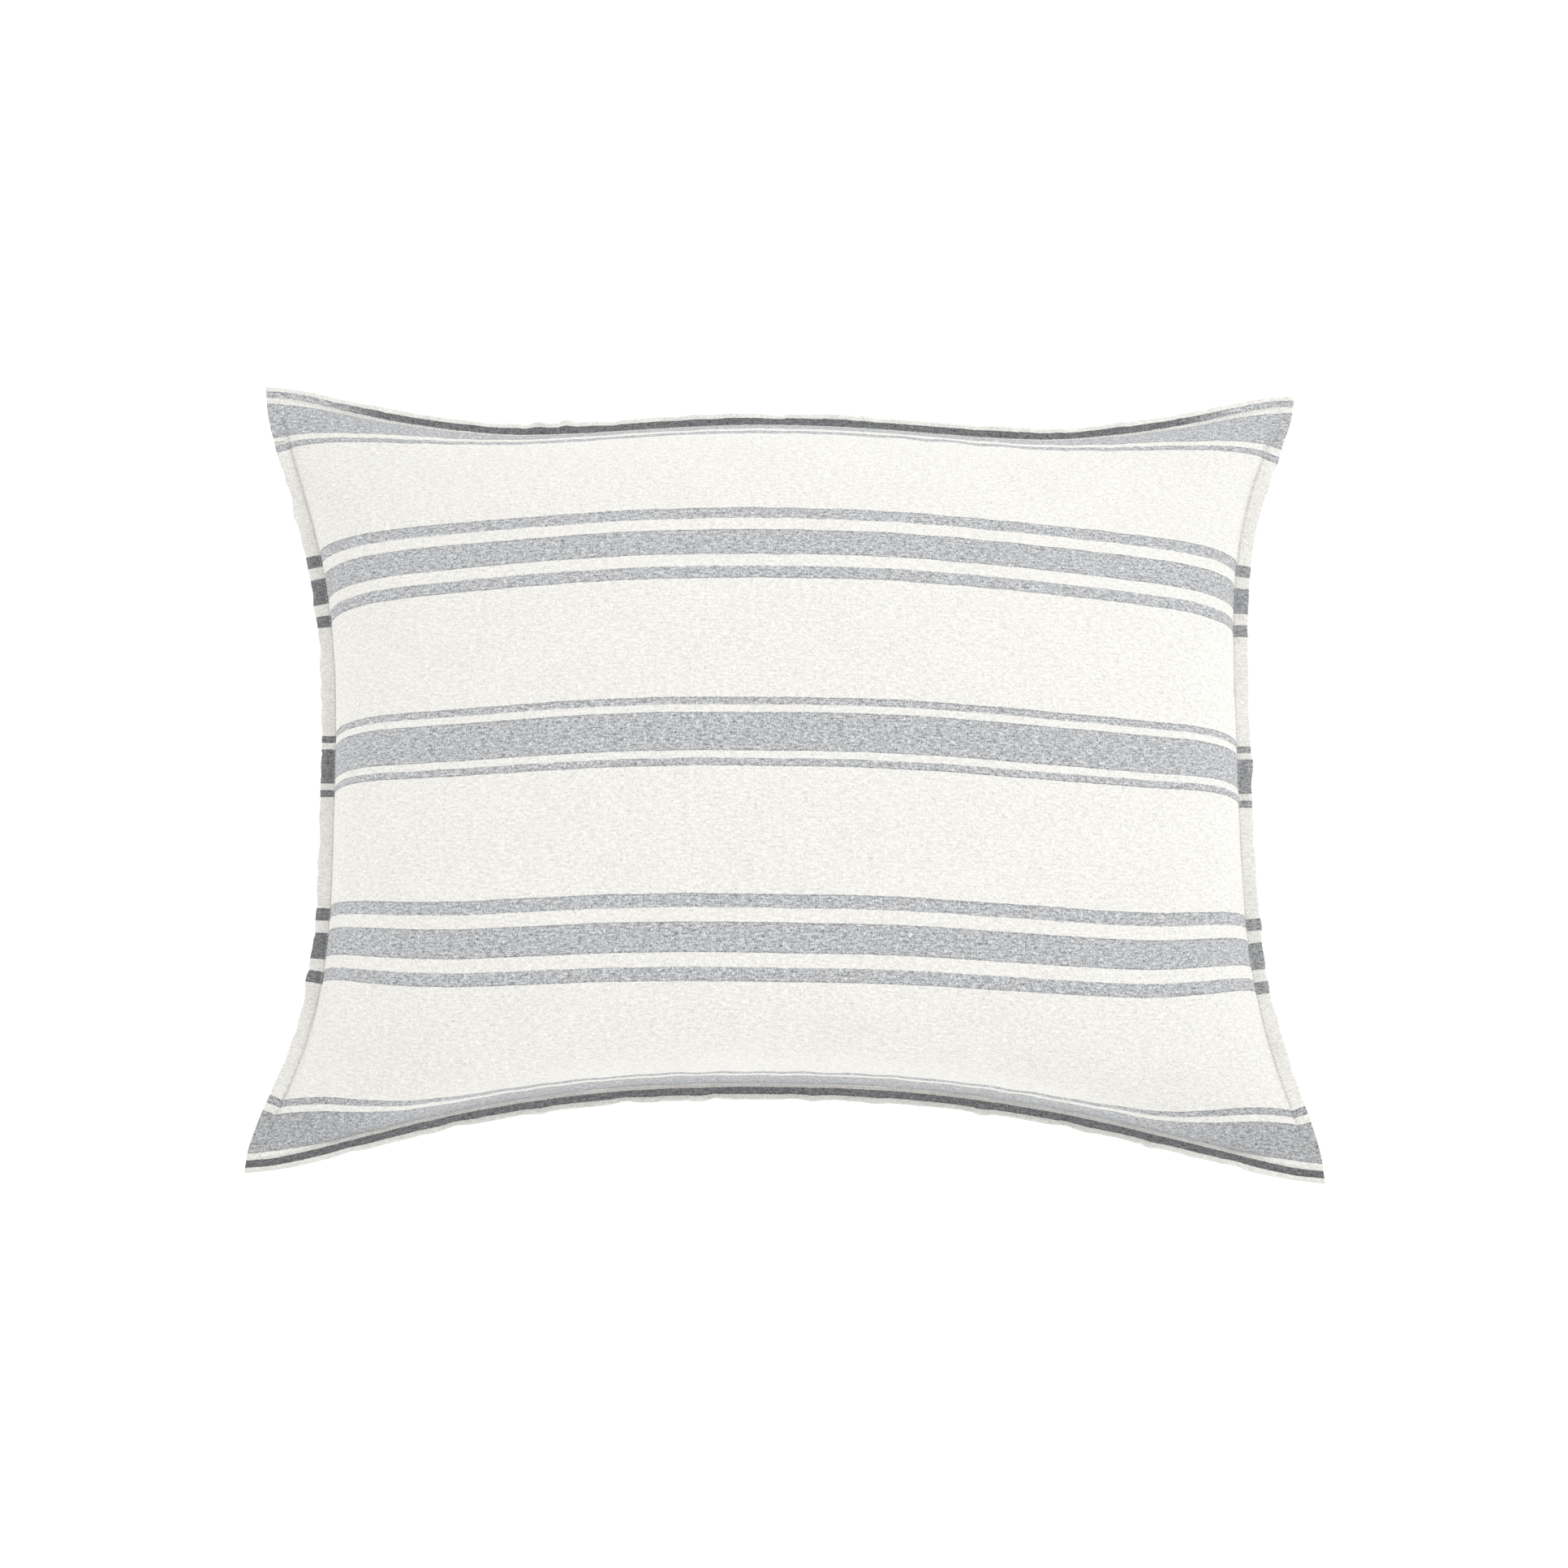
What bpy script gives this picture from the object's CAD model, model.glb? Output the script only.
"""A large striped linen throw pillow, dressed around its CAD frame.

The linen cover is cut as two flat panels. Every point of a panel has flat coordinates (u along the stripes,
v across them, from the panel's middle), which give it its place on the pillow, its weave and its stripes.
Metres throughout, in the frame of the CAD model.
"""

import functools
import math

import bpy
import numpy as np
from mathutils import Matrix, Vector


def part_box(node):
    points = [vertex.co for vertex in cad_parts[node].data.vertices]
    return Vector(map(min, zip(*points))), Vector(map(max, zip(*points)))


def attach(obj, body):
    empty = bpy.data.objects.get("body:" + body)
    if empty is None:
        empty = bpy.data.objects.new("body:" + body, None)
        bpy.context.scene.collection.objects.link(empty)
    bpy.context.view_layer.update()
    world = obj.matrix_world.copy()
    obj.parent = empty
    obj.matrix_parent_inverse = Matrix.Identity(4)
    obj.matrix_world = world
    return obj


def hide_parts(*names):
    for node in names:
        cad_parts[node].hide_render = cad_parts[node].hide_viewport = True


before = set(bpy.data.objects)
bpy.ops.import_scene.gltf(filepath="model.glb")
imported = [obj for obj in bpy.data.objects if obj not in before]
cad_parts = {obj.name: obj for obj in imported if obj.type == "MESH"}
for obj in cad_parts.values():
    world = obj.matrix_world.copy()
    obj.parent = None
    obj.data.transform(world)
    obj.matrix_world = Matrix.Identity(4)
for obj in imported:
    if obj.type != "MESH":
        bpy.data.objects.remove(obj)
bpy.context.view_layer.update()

# ------ dimensions

# The two flat panels of the cover
FLAT_LENGTH = 0.914
FLAT_WIDTH = 0.711
FLANGE = 0.013
HALF_U = FLAT_LENGTH / 2 - FLANGE  # middle to seam, along the stripes
HALF_V = FLAT_WIDTH / 2 - FLANGE  # middle to seam, across the stripes
LINEN = 0.001
FLANGE_LAYER = 0.0009  # half of the flange: one linen layer and its turned-in edge

# Corner tips of the finished pillow; the ears hang a little below the seam's middle height
SEAM_HEIGHT = 0.105
CORNERS = {
    "low_left": (-0.447, -0.349, 0.082),
    "low_right": (0.459, -0.349, 0.082),
    "high_right": (0.446, 0.346, 0.095),
    "high_left": (-0.4545, 0.346, 0.095),
}
# Each edge from corner to corner: how far it pulls in between, and how square its first and last half are
EDGES = {
    "low": ("low_left", "low_right", 0.063, (2.5, 2.25)),
    "right": ("low_right", "high_right", 0.052, (3.6, 4.2)),
    "high": ("high_right", "high_left", 0.027, (4.5, 4.5)),
    "left": ("high_left", "low_left", 0.0585, (2.6, 4.2)),
}
# The high edge is also tucked in on both sides of its middle, but the cloth of the face hardly follows that
TUCKED_EDGE = "high"
TUCK = 0.013
TUCK_SWELL = 0.015  # how far the edge's middle comes out again
SWELL_REACH = 0.6  # of the half edge
TUCK_FADE = 8  # how suddenly the cloth of the face leaves the tucks
EAR_CURL = 1.45  # how sharply an edge leaves its corner
EAR_SHARE = 0.04  # of an edge, the part that lies in the ear
EDGE_LEVEL_POWER = 5  # how suddenly the seam drops towards its ends

# Sections of the stuffed pillow: powers of the rounded curve, in plan and in height
FRONT_RISE = 0.141
BACK_DEPTH = 0.160
FLOOR_GAP = 0.0006
FRONT_PEAK = -0.26  # of the half width, towards the zip edge
LENGTH_POWERS = (2.5, 2.0)
LOW_POWERS = ((3.6, 4.8), (1.7, 1.7))  # in the middle of the pillow, and towards its ears
HIGH_POWERS = ((2.9, 1.6), (1.9, 1.7))
ROUND_POWERS = (2.0, 2.0)
SECTION_SAMPLES = 400
CORNER_SLACK = 0.6  # the stuffing doesn't reach into the corners
CORNER_POWER = 3
FLOOR_SOFTNESS = 0.006

# Grid spacing of the simulated cloth, with finer rows beside the seam and at the zip slot
CLOTH_STEP = 0.008
SEAM_ROWS = (0.0, 0.0045, 0.009, 0.014, 0.019)
FLANGE_ROWS = (0.003, 0.0065, 0.010, 0.0122, FLANGE)

# The zip, in the back panel below the edge at -Y
ZIP_HALF_LENGTH = 0.237
ZIP_EDGE_CENTRE = -1.95334  # centre of the zip's arc, on the Y axis
ZIP_RADIUS = 1.68814
ZIP_HEIGHT = 0.091
TAPE_HALF = 0.0003  # half the tape's thickness
SLOT_FROM_SEAM = 0.009  # the slot in the linen, on the flat panel
SLOT_TO_SEAM = 0.019
SLOT_TOP = 0.096  # the same slot above the floor
SLOT_BOTTOM = 0.086
GROOVE_FADE = 0.020  # how far the linen around the slot follows it

# ------ shape in plan


def unit(vector):
    """The vector, or each row of vectors, with length 1."""
    vector = np.asarray(vector, float)
    return vector / np.linalg.norm(vector, axis=-1, keepdims=True)


def smooth(x):
    """A smooth step from 0 to 1 as x goes from 0 to 1."""
    x = np.clip(x, 0, 1)
    return x * x * (3 - 2 * x)


def pull_in(name, bow, t, tucked):
    """How far the edge pulls inwards along its length; t runs from corner to corner."""
    place = 2 * np.asarray(t, float) - 1
    pulled = (1 - np.abs(place) ** np.where(place < 0, *EDGES[name][3])) ** EAR_CURL
    if not tucked or name != TUCKED_EDGE:
        return bow * pulled
    pushed = np.maximum(0, 1 - (place / SWELL_REACH) ** 2) ** 2
    return (bow + TUCK) * pulled - TUCK_SWELL * pushed


def inward_of(start, end):
    """The direction in plan from an edge towards the pillow's middle."""
    chord = unit(end[:2] - start[:2])
    return np.array([-chord[1], chord[0]])


def bowed(name, start, end, bow, t, tucked=True):
    """Points from start to end that pull in by bow as the named edge does, and hang at their ends."""
    t = np.asarray(t, float)[..., None]
    plan = start[:2] + (end[:2] - start[:2]) * t + inward_of(start, end) * pull_in(name, bow, t, tucked)
    hanging = start[2:] + (end[2:] - start[2:]) * t
    level = 1 - np.abs(2 * t - 1) ** EDGE_LEVEL_POWER
    return np.concatenate([plan, hanging + (SEAM_HEIGHT - hanging) * level], axis=-1)


def outer_edge(name, t):
    """Points of the flange's outer edge."""
    first, last, bow = EDGES[name][:3]
    return bowed(name, np.array(CORNERS[first]), np.array(CORNERS[last]), bow, t)


def end_direction(name, t):
    """The edge's direction in its ear, at its start (t=0) or end (t=1)."""
    points = outer_edge(name, np.array([0, EAR_SHARE]) if t == 0 else np.array([1 - EAR_SHARE, 1]))
    return unit(points[1] - points[0])


def seam_corners():
    """Where the seam turns: each tip moved back by the flange's width along both of its edges."""
    found = {}
    names = list(EDGES)
    for name, following in zip(names, names[1:] + names[:1]):
        corner = EDGES[name][1]
        back = end_direction(name, 1) - end_direction(following, 0)
        found[corner] = np.array(CORNERS[corner]) - FLANGE * back
    return found


SEAM_CORNERS = seam_corners()


def seam(name, t, tucked=True):
    """Points of the sewn seam along one edge, the flange's width inside it."""
    first, last, bow = EDGES[name][:3]
    start, end = SEAM_CORNERS[first], SEAM_CORNERS[last]
    start_inset = np.array(CORNERS[first])[:2] - start[:2]
    return bowed(name, start, end, bow + FLANGE + start_inset @ inward_of(start, end), t, tucked)


def patch(across, up):
    """The seam plane's points between the four seam edges; the grids across and up run from 0 to 1."""
    low, high = seam("low", across), seam("high", 1 - across, tucked=False)
    left, right = seam("left", 1 - up), seam("right", up)
    a, b = across[..., None], up[..., None]
    ruled = (1 - b) * low + b * high + (1 - a) * left + a * right
    low_ends = (1 - a) * SEAM_CORNERS["low_left"] + a * SEAM_CORNERS["low_right"]
    high_ends = (1 - a) * SEAM_CORNERS["high_left"] + a * SEAM_CORNERS["high_right"]
    points = ruled - (1 - b) * low_ends - b * high_ends
    points += (seam("high", 1 - across) - high) * b**TUCK_FADE
    points[..., 2] = np.minimum(points[..., 2], SEAM_HEIGHT)
    return points


# ------ stuffed sections


def quarter(powers):
    """A rounded quarter from the peak (0, 1) to the seam (1, 0), with its points closest at the seam."""
    turn = math.pi / 2 * (1 - np.linspace(1, 0, SECTION_SAMPLES) ** 2)
    return np.sin(turn) ** (2 / powers[0]), np.cos(turn).clip(0) ** (2 / powers[1])


def section(peak, low_powers, high_powers):
    """A section's outline from seam to seam: plan places from -1 to 1, and heights from 0 to 1."""
    low_plan, low_height = quarter(low_powers)
    high_plan, high_height = quarter(high_powers)
    plan = np.concatenate([(peak - (peak + 1) * low_plan)[::-1], (peak + (1 - peak) * high_plan)[1:]])
    return plan, np.concatenate([low_height[::-1], high_height[1:]])


def laid_over(outline, half_width, rise, shares):
    """Plan places of the cloth's shares of its arc, on a section of this rise."""
    plan, height = outline
    length = np.concatenate([[0], np.cumsum(np.hypot(np.diff(plan) * half_width, np.diff(height) * rise))])
    return np.interp(shares, 2 * length / length[-1] - 1, plan)


def stations(half, rows):
    """Grid lines from seam to seam: the fine rows at both ends, and even spacing between."""
    inner = half - rows[-1]
    count = round(2 * inner / CLOTH_STEP)
    fine = np.array(rows[:-1])
    return np.concatenate([fine - half, np.linspace(-inner, inner, count + 1), (half - fine)[::-1]])


U = stations(HALF_U, SEAM_ROWS[:3])
V = stations(HALF_V, SEAM_ROWS)
MEAN_HALF_LENGTH = 0.385  # of the stuffed pillow in plan
MEAN_HALF_WIDTH = 0.289


def eased(powers, in_ear):
    """Section powers between the pillow's middle and its ear."""
    middle, ear = np.array(powers)
    return middle * (1 - in_ear) + ear * in_ear


def stuffed(rise, peak, low_powers, high_powers, length_powers):
    """One side of the pillow: its points in the seam's plane, and its height as a share of the rise."""
    share_u, share_v = U / HALF_U, V / HALF_V
    along = section(0, length_powers, length_powers)
    middle = laid_over(along, MEAN_HALF_LENGTH, rise, share_u)
    place_v, height_v = [], []
    for place in middle:
        in_ear = place**2
        over = section(peak * (1 - in_ear), eased(low_powers, in_ear), eased(high_powers, in_ear))
        place_v.append(laid_over(over, MEAN_HALF_WIDTH, rise * np.interp(place, *along), share_v))
        height_v.append(np.interp(place_v[-1], *over))
    place_v, height_v = np.array(place_v), np.array(height_v)
    rises = rise * height_v[len(middle) // 2]
    place_u = np.stack([laid_over(along, MEAN_HALF_LENGTH, peak, share_u) for peak in rises], axis=1)
    height = np.interp(place_u, *along) * height_v
    height *= 1 - CORNER_SLACK * np.abs(place_u * place_v) ** CORNER_POWER
    return patch((place_u + 1) / 2, (place_v + 1) / 2), height


def start_shape():
    """The front and back panels as the stuffing first fills them."""
    front, rise = stuffed(FRONT_RISE, FRONT_PEAK, LOW_POWERS, HIGH_POWERS, LENGTH_POWERS)
    front[..., 2] += FRONT_RISE * rise
    round_all_along = (ROUND_POWERS, ROUND_POWERS)
    back, depth = stuffed(BACK_DEPTH, 0, round_all_along, round_all_along, ROUND_POWERS)
    sunk = back[..., 2] - BACK_DEPTH * depth - FLOOR_GAP
    back[..., 2] = FLOOR_GAP + FLOOR_SOFTNESS * np.logaddexp(0, sunk / FLOOR_SOFTNESS)
    return front, back


# ------ cloth simulation

SIMULATED_FRAMES = 24
PRESSURE = 2.0
SPARE_CLOTH = 0.012  # how much larger the cloth is than the shape it starts in
HOLD = 0.35  # how firmly the stuffing holds the cloth
FURTHEST_MOVE = 0.007
EVENING_PASSES = 2


def grid_faces(index):
    """Quads of a grid of vertex numbers, facing +Z when rows run along X and columns along Y."""
    corners = [index[:-1, :-1], index[1:, :-1], index[1:, 1:], index[:-1, 1:]]
    return np.stack(corners, axis=-1).reshape(-1, 4)


def rim_of(shape):
    """A mask of a grid's outermost points."""
    rim = np.ones(shape, bool)
    rim[1:-1, 1:-1] = False
    return rim


def sewn(front, back):
    """Two grids joined along their rim: the points, the faces, and where each grid's points are."""
    rim = rim_of(front.shape[:2])
    front_index = np.arange(rim.size).reshape(rim.shape)
    back_index = front_index.copy()
    back_index[~rim] = rim.size + np.arange((~rim).sum())
    points = np.concatenate([front.reshape(-1, 3), back[~rim]])
    faces = np.concatenate([grid_faces(front_index), grid_faces(back_index)[:, ::-1]])
    return points, faces, front_index, back_index


def added(name, data):
    """A new object in the scene."""
    made = bpy.data.objects.new(name, data)
    bpy.context.scene.collection.objects.link(made)
    return made


def sew_and_fill(front, back):
    """Simulates the two panels as one cloth, sewn along the rim and pressed outwards by the stuffing."""
    points, faces, front_index, back_index = sewn(front, back)
    mesh = bpy.data.meshes.new("filled_cover")
    mesh.from_pydata(points, [], faces)
    cloth = added("filled_cover", mesh)
    held = cloth.vertex_groups.new(name="held")
    fixed = points[:, 2] < 2 * FLOOR_GAP
    fixed[front_index[rim_of(front_index.shape)]] = True
    held.add(np.flatnonzero(fixed).tolist(), 1, "REPLACE")
    held.add(np.flatnonzero(~fixed).tolist(), HOLD, "REPLACE")

    simulation = cloth.modifiers.new("cloth", "CLOTH")
    settings = simulation.settings
    settings.quality = 6
    settings.mass = 0.15
    settings.tension_stiffness = 25
    settings.compression_stiffness = 25
    settings.shear_stiffness = 8
    settings.bending_stiffness = 8
    settings.vertex_group_mass = held.name
    settings.pin_stiffness = 1
    settings.shrink_min = -SPARE_CLOTH
    settings.use_pressure = True
    settings.uniform_pressure_force = PRESSURE
    settings.effector_weights.gravity = 0
    simulation.collision_settings.use_collision = False
    simulation.point_cache.frame_start = 1
    simulation.point_cache.frame_end = SIMULATED_FRAMES
    for step in range(1, SIMULATED_FRAMES + 1):
        bpy.context.scene.frame_set(step)
    filled = cloth.evaluated_get(bpy.context.evaluated_depsgraph_get())
    result = np.empty(len(points) * 3, np.float32)
    filled.data.vertices.foreach_get("co", result)
    result = result.reshape(-1, 3).astype(float)
    bpy.data.objects.remove(cloth)
    bpy.data.meshes.remove(mesh)
    bpy.context.scene.frame_set(1)

    return settled(front, result[front_index]), settled(back, result[back_index])


def settled(start, simulated):
    """The simulated panel with its moves capped, and evened out over neighbouring threads."""
    move = simulated - start
    distance = np.linalg.norm(move, axis=-1, keepdims=True)
    move *= np.minimum(1, FURTHEST_MOVE / np.maximum(distance, 1e-9))
    for _ in range(EVENING_PASSES):
        move[1:-1] = (move[:-2] + 2 * move[1:-1] + move[2:]) / 4
        move[:, 1:-1] = (move[:, :-2] + 2 * move[:, 1:-1] + move[:, 2:]) / 4
    return start + move


# ------ mesh building


def grid_of(first, second):
    """Every pair of the two lines' values, as a grid."""
    return np.stack(np.meshgrid(first, second, indexing="ij"), axis=-1)


def refined(grid):
    """A grid of points, or of numbers, with a new row and column between each two, on smooth curves."""
    for axis in (0, 1):
        grid = np.moveaxis(grid, axis, 0)
        before = np.concatenate([2 * grid[:1] - grid[1:2], grid[:-2]])
        after = np.concatenate([grid[2:], 2 * grid[-1:] - grid[-2:-1]])
        between = (9 * (grid[:-1] + grid[1:]) - before - after) / 16
        result = np.empty((2 * len(grid) - 1,) + grid.shape[1:])
        result[::2], result[1::2] = grid, between
        grid = np.moveaxis(result, 0, axis)
    return grid


def normals_of(grid):
    """Unit normals of a grid of points, towards +Z when rows run along X and columns along Y."""
    return unit(np.cross(np.gradient(grid, axis=0), np.gradient(grid, axis=1)))


def mesh_piece(name, points, faces, flat=None):
    """A new smooth object of these points and faces; flat gives each point its flat coordinates."""
    mesh = bpy.data.meshes.new(name)
    mesh.from_pydata(np.asarray(points).reshape(-1, 3), [], faces)
    if flat is not None:
        loops = np.empty(len(mesh.loops), np.int32)
        mesh.loops.foreach_get("vertex_index", loops)
        layer = mesh.uv_layers.new(name=FLAT_MAP)
        layer.data.foreach_set("uv", np.asarray(flat).reshape(-1, 2)[loops].astype(np.float32).ravel())
    mesh.shade_smooth()
    mesh.validate()
    return added(name, mesh)


def rim_quads(keep, outer, inner):
    """Quads that close the gap between two layers, along the edges where kept cells meet missing ones."""
    padded = np.pad(keep, 1)
    here = padded[1:-1, 1:-1]
    sides = (
        (padded[:-2, 1:-1], (0, 1), (0, 0)),
        (padded[2:, 1:-1], (1, 0), (1, 1)),
        (padded[1:-1, :-2], (0, 0), (1, 0)),
        (padded[1:-1, 2:], (1, 1), (0, 1)),
    )
    quads = []
    for neighbour, start, end in sides:
        rows, columns = np.nonzero(here & ~neighbour)
        first, last = ((rows + i, columns + j) for i, j in (start, end))
        quads.append(np.stack([outer[last], outer[first], inner[first], inner[last]], axis=-1))
    return np.concatenate(quads)


def shell(name, outer, inner, flat, keep=None, flip=False):
    """A closed sheet between two grids of points; keep marks the grid's cells that are cloth."""
    if keep is None:
        keep = np.ones((outer.shape[0] - 1, outer.shape[1] - 1), bool)
    count = outer.shape[0] * outer.shape[1]
    index = np.arange(count).reshape(outer.shape[:2])
    kept = keep.ravel()
    outside, inside = grid_faces(index)[kept], grid_faces(index + count)[kept][:, ::-1]
    faces = np.concatenate([outside, inside, rim_quads(keep, index, index + count)])
    if flip:
        faces = faces[:, ::-1]
    used, numbered = np.unique(faces, return_inverse=True)
    points = np.concatenate([outer.reshape(-1, 3), inner.reshape(-1, 3)])[used]
    spread = np.concatenate([flat.reshape(-1, 2)] * 2)[used]
    return mesh_piece(name, points, numbered.reshape(faces.shape), spread)


# ------ the cover's two panels

FLAT_MAP = "Flat"
EAR_TURN = 0.05  # near a corner the flange follows the ear, from this far away
WAVE_HEIGHT = 0.0011
WAVE_LENGTHS = (0.130, 0.083, 0.047, 0.029)
WAVE_SHARES = (0.5, 1)  # each wave's height is drawn between these
WAVE_SEED = 11
WAVE_GROWTH = 1.4  # how the waves grow from the seam to the edge
WAVE_REACH = 0.05  # how much the waves lengthen and shorten the flange in plan
WAVE_LAG = 5  # grid rows
PINCHES = {"high": -0.217, "low": -0.070}  # where the sewing drew the edge together, along u
PINCH_DEPTH = 0.0035
PINCH_WIDTH = 0.007
LAYER_GAP = 0.0001
FOLD_START = 0.011  # from here the flange's edge rounds off
FOLD_EDGE = 0.02  # what is left of its height there, squared
SEAM_BITE = 0.7  # the stitches press the layers to this share of their height


def edge_waves(name, place):
    """How far the flange waves up and down along an edge, as a share of WAVE_HEIGHT."""
    random = np.random.default_rng(WAVE_SEED + list(EDGES).index(name))
    waves = sum(
        np.sin(math.tau * (place / length + random.random())) * random.uniform(*WAVE_SHARES)
        for length in WAVE_LENGTHS
    )
    if name in PINCHES:
        away = (place - PINCHES[name]) / PINCH_WIDTH
        pinch = np.exp(-((away - 1) ** 2)) - np.exp(-((away + 1) ** 2))
        waves = waves + PINCH_DEPTH / WAVE_HEIGHT * pinch
    near_end = (np.abs(place).max() - np.abs(place)) / EAR_TURN
    return waves * smooth(near_end)


def flange_strip(name, rim, place, first_turn, last_turn, outward):
    """The flange's middle surface beside an edge, a row per FLANGE_ROWS, and its upward direction."""
    along = unit(np.gradient(rim, axis=0))
    out = unit(np.stack([along[:, 1], -along[:, 0], 0 * place], axis=-1)) * outward
    from_start = np.linalg.norm(rim - rim[0], axis=1) / EAR_TURN
    from_end = np.linalg.norm(rim - rim[-1], axis=1) / EAR_TURN
    start_share, end_share = smooth(1 - from_start)[:, None], smooth(1 - from_end)[:, None]
    out = unit(out * (1 - start_share - end_share) + first_turn * start_share + last_turn * end_share)
    up = unit(np.cross(along, out))
    up *= np.sign(up[:, 2:])
    waves = edge_waves(name, place)
    sway = WAVE_REACH * np.roll(waves, WAVE_LAG) * smooth(np.abs(waves))
    rows = []
    for width in FLANGE_ROWS:
        lift = WAVE_HEIGHT * waves * (width / FLANGE) ** WAVE_GROWTH
        reach = width * (1 + sway * width / FLANGE)
        rows.append(rim + out * reach[:, None] + up * lift[:, None])
    return np.stack(rows, axis=1), up


def flange_height(width):
    """Half the flange's thickness at this width: sewn down at the seam, and rounded at the edge."""
    pressed = SEAM_BITE + (1 - SEAM_BITE) * min(1, width / FLANGE_ROWS[0])
    past_fold = max(0, (width - FOLD_START) / (FLANGE - FOLD_START))
    return LAYER_GAP + FLANGE_LAYER * pressed * math.sqrt(max(FOLD_EDGE, 1 - past_fold**2))


def panel(face, side):
    """A whole panel's outer and inner points, face and flange; side is 1 for the front, -1 for the back."""
    rows = len(FLANGE_ROWS)
    outer = np.zeros((face.shape[0] + 2 * rows, face.shape[1] + 2 * rows, 3))
    inner = outer.copy()
    outer[rows:-rows, rows:-rows] = face
    inner[rows:-rows, rows:-rows] = face - normals_of(face) * side * LINEN

    rims = {"low": face[:, 0], "right": face[-1], "high": face[:, -1], "left": face[0]}
    ends = {name: unit(np.gradient(rim, axis=0))[[0, -1]] for name, rim in rims.items()}
    u, v = FACE_FLAT[:, 0, 0], FACE_FLAT[0, :, 1]
    strips = {
        "low": flange_strip("low", rims["low"], u, -ends["left"][0], -ends["right"][0], 1),
        "high": flange_strip("high", rims["high"], u, ends["left"][1], ends["right"][1], -1),
        "left": flange_strip("left", rims["left"], v, -ends["low"][0], -ends["high"][0], -1),
        "right": flange_strip("right", rims["right"], v, ends["low"][1], ends["high"][1], 1),
    }
    inside = slice(rows, -rows)
    for name, (strip, up) in strips.items():
        first = rows if name in ("low", "left") else -rows - 1
        step = -1 if name in ("low", "left") else 1
        layers = [rims[name], *(strip[:, row] for row in range(rows))]
        for number, (layer, width) in enumerate(zip(layers, (0, *FLANGE_ROWS))):
            place = first + step * number
            cells = (inside, place) if name in ("low", "high") else (place, inside)
            outer[cells] = layer + up * side * flange_height(width)
            inner[cells] = layer + up * side * LAYER_GAP

    level = np.array([0, 0, side])
    for u_edge, v_edge in ((0, 0), (0, 1), (1, 0), (1, 1)):
        corner = face[-u_edge, -v_edge]
        u_step = ends["high" if v_edge else "low"][u_edge] * (1 if u_edge else -1)
        v_step = ends["right" if u_edge else "left"][v_edge] * (1 if v_edge else -1)
        for i, du in enumerate(FLANGE_ROWS):
            for j, dv in enumerate(FLANGE_ROWS):
                cell = (i - rows if u_edge else rows - 1 - i, j - rows if v_edge else rows - 1 - j)
                point = corner + u_step * du + v_step * dv
                outer[cell] = point + level * flange_height(max(du, dv))
                inner[cell] = point + level * LAYER_GAP
    return outer, inner


def extended(line):
    """Flat coordinates along a panel's middle line, with the flange's rows added at both ends."""
    rows = np.array(FLANGE_ROWS)
    return np.concatenate([line[0] - rows[::-1], line, line[-1] + rows])


def zip_groove(back):
    """The back's points with both edges of the zip slot drawn in until they lie on the zip tapes."""
    from_seam = FACE_FLAT[0, :, 1] + HALF_V
    draws = []
    for place, height in ((SLOT_FROM_SEAM, SLOT_TOP), (SLOT_TO_SEAM, SLOT_BOTTOM)):
        edge = back[:, np.argmin(np.abs(from_seam - place))]
        turn = np.arctan2(edge[:, 0], edge[:, 1] - ZIP_EDGE_CENTRE)
        reach = ZIP_RADIUS - TAPE_HALF - LINEN - LAYER_GAP
        across, along = reach * np.sin(turn), ZIP_EDGE_CENTRE + reach * np.cos(turn)
        draws.append(np.stack([across, along, np.full(len(turn), height)], axis=-1) - edge)
    down = np.clip((from_seam - SLOT_FROM_SEAM) / (SLOT_TO_SEAM - SLOT_FROM_SEAM), 0, 1)[None, :, None]
    draw = draws[0][:, None] * (1 - down) + draws[1][:, None] * down
    near = smooth(from_seam / SLOT_FROM_SEAM)
    near *= smooth((SLOT_TO_SEAM + GROOVE_FADE - from_seam) / GROOVE_FADE)
    beside = smooth((ZIP_HALF_LENGTH + GROOVE_FADE - np.abs(edge[:, 0])) / GROOVE_FADE)
    return back + draw * near[None, :, None] * beside[:, None, None]


FACE_FLAT = refined(grid_of(U, V))
PANEL_FLAT = grid_of(extended(FACE_FLAT[:, 0, 0]), extended(FACE_FLAT[0, :, 1]))

front_face, back_face = start_shape()
front_face, back_face = sew_and_fill(front_face, back_face)
front_outer, front_inner = panel(refined(front_face), 1)
back_outer, back_inner = panel(zip_groove(refined(back_face)), -1)

cell_from_seam = (PANEL_FLAT[0, 1:, 1] + PANEL_FLAT[0, :-1, 1]) / 2 + HALF_V
in_slot_rows = (cell_from_seam > SLOT_FROM_SEAM) & (cell_from_seam < SLOT_TO_SEAM)
slot_x = back_outer[:, np.argmax(in_slot_rows), 0]
in_slot = (np.abs(slot_x[1:] + slot_x[:-1]) / 2 < ZIP_HALF_LENGTH)[:, None] & in_slot_rows
cover_front = shell("cover_front", front_outer, front_inner, PANEL_FLAT)
cover_back = shell("cover_back", back_outer, back_inner, PANEL_FLAT, keep=~in_slot, flip=True)


# ------ materials


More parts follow.
